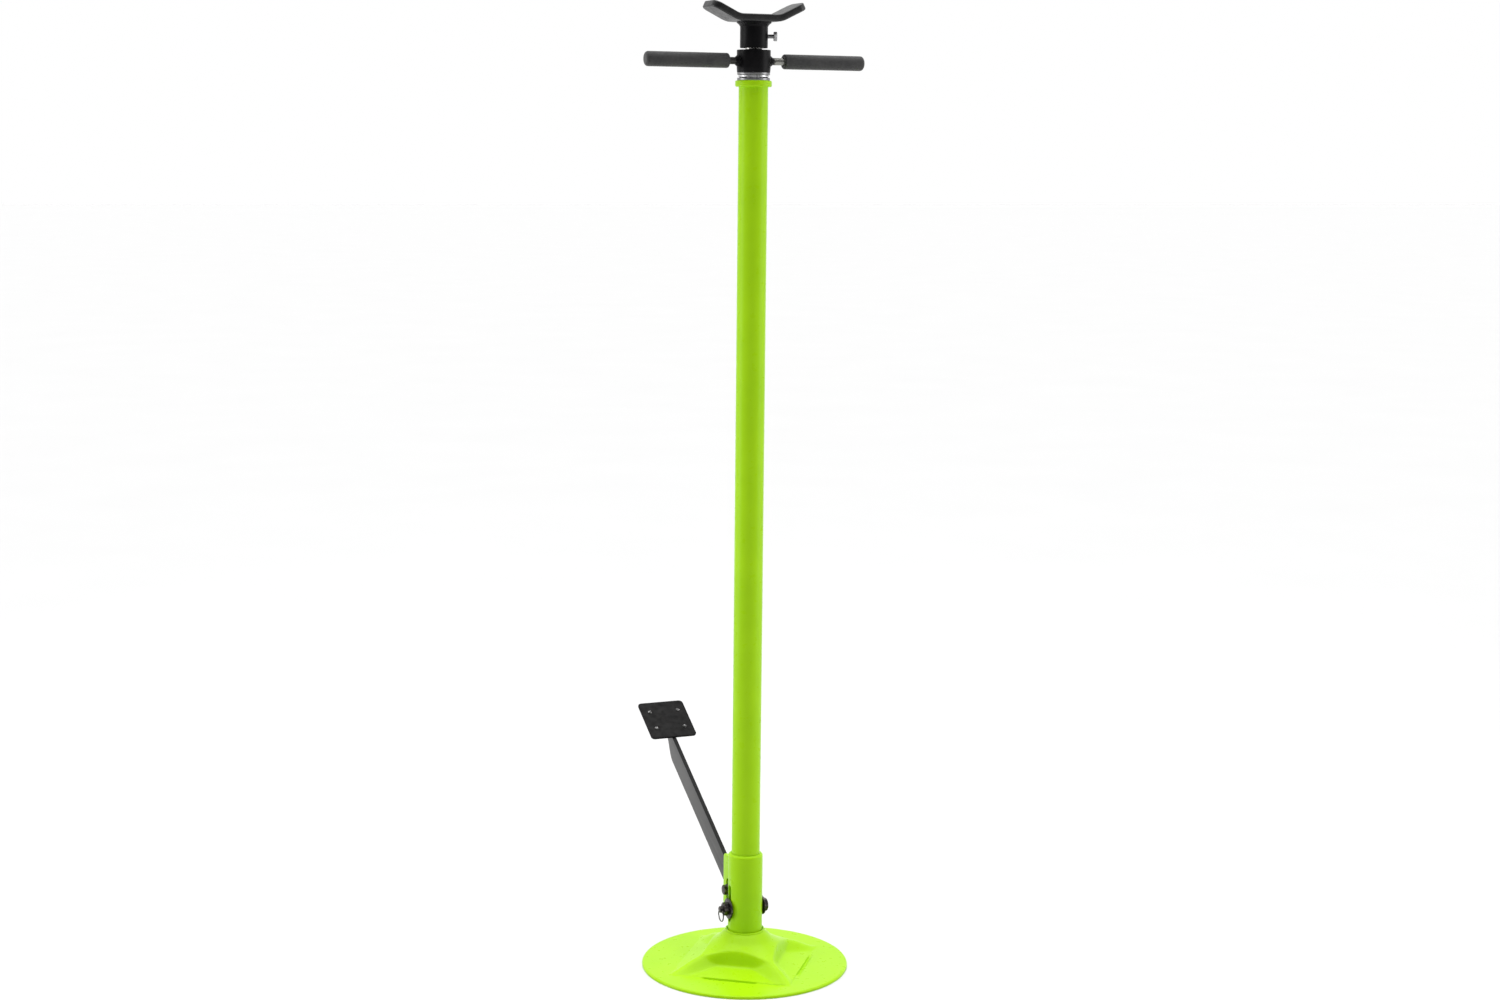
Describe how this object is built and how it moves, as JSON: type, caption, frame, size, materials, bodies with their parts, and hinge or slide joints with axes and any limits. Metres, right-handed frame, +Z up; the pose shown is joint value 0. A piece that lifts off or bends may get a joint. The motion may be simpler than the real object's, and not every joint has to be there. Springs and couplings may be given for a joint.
{
  "type": "under-hoist support stand",
  "caption": "Tall support stand with a pressed round base, a foot lever that lifts the column, and a spin nut that raises a cradle saddle on a screw.",
  "frame": {"origin": "on the floor, on the column's axis, in the plane of the base's rim", "axes": "+Z up the column; X along the cross bolt and the handles; the foot lever reaches out along -Y"},
  "size_m": [0.3262, 0.5152, 1.3824],
  "materials": {
    "green_paint": "glossy high-visibility green powder coat",
    "black_paint": "satin black powder coat",
    "grip_rubber": "matt charcoal grip",
    "bright_steel": "bright ground or zinc-plated steel",
    "dark_steel": "black oxide fasteners",
    "screw_steel": "rolled thread, lightly oiled"
  },
  "bodies": {
    "stand": {"base_plate": "green_paint", "sleeve": "green_paint", "ear_left": "green_paint", "ear_right": "green_paint", "ear_welds": "green_paint", "fulcrum_bolt": "dark_steel", "fulcrum_washers": "dark_steel", "fulcrum_nut": "dark_steel"},
    "foot_lever": {"lever_arm": "black_paint", "fulcrum_bush": "bright_steel", "pedal_plate": "black_paint", "pedal_studs": "bright_steel", "pedal_welds": "black_paint"},
    "column": {"column_tube": "green_paint", "column_collar": "green_paint", "screw_guide": "bright_steel", "lower_race": "bright_steel", "cross_bolt": "dark_steel", "cross_washers": "dark_steel", "cross_nut": "dark_steel"},
    "pin_ring": {"split_ring": "dark_steel"},
    "bearing_cage": {"ball_cage": "bright_steel", "bearing_balls": "bright_steel"},
    "spin_nut": {"upper_race": "bright_steel", "handle_nut": "black_paint", "handle_rod_left": "bright_steel", "handle_rod_right": "bright_steel", "rod_welds": "black_paint", "grip_left": "grip_rubber", "grip_right": "grip_rubber"},
    "screw": {"lift_screw": "screw_steel", "screw_stop": "dark_steel", "stop_pin": "bright_steel"},
    "saddle": {"saddle_plate": "black_paint", "saddle_socket": "black_paint", "saddle_weld": "black_paint", "set_screw": "bright_steel"}
  },
  "joints": [
    {"name": "pedal_press", "type": "hinge", "parent": "stand", "child": "foot_lever", "pos_m": [0, -0.04, 0.101], "axis": [1, 0, 0], "range_deg": [0, 41.1]},
    {"name": "column_lift", "type": "slide", "parent": "stand", "child": "column", "axis": [0, 0, 1], "range_m": [0, 0.0301]},
    {"name": "ring_swing", "type": "hinge", "parent": "column", "child": "pin_ring", "pos_m": [0.0377, 0, 0.086], "axis": [0, 1, 0], "range_deg": [-80, 6]},
    {"name": "handle_spin", "type": "hinge", "parent": "column", "child": "spin_nut", "pos_m": [0, 0, 1.302], "axis": [0, 0, -1], "range_deg": [0, 46656]},
    {"name": "cage_spin", "type": "hinge", "parent": "column", "child": "bearing_cage", "pos_m": [0, 0, 1.28035], "axis": [0, 0, -1], "range_deg": [0, 23328]},
    {"name": "screw_lift", "type": "slide", "parent": "column", "child": "screw", "axis": [0, 0, 1], "range_m": [0, 0.6481]},
    {"name": "saddle_turn", "type": "hinge", "parent": "screw", "child": "saddle", "pos_m": [0, 0, 1.335], "axis": [0, 0, 1], "continuous": true}
  ],
  "couplings": [
    {"joint": "column_lift", "follows": "pedal_press", "m_per_rad": 0.041822},
    {"joint": "screw_lift", "follows": "handle_spin", "m_per_rad": 0.00079577},
    {"joint": "cage_spin", "follows": "handle_spin", "ratio": 0.5}
  ]
}
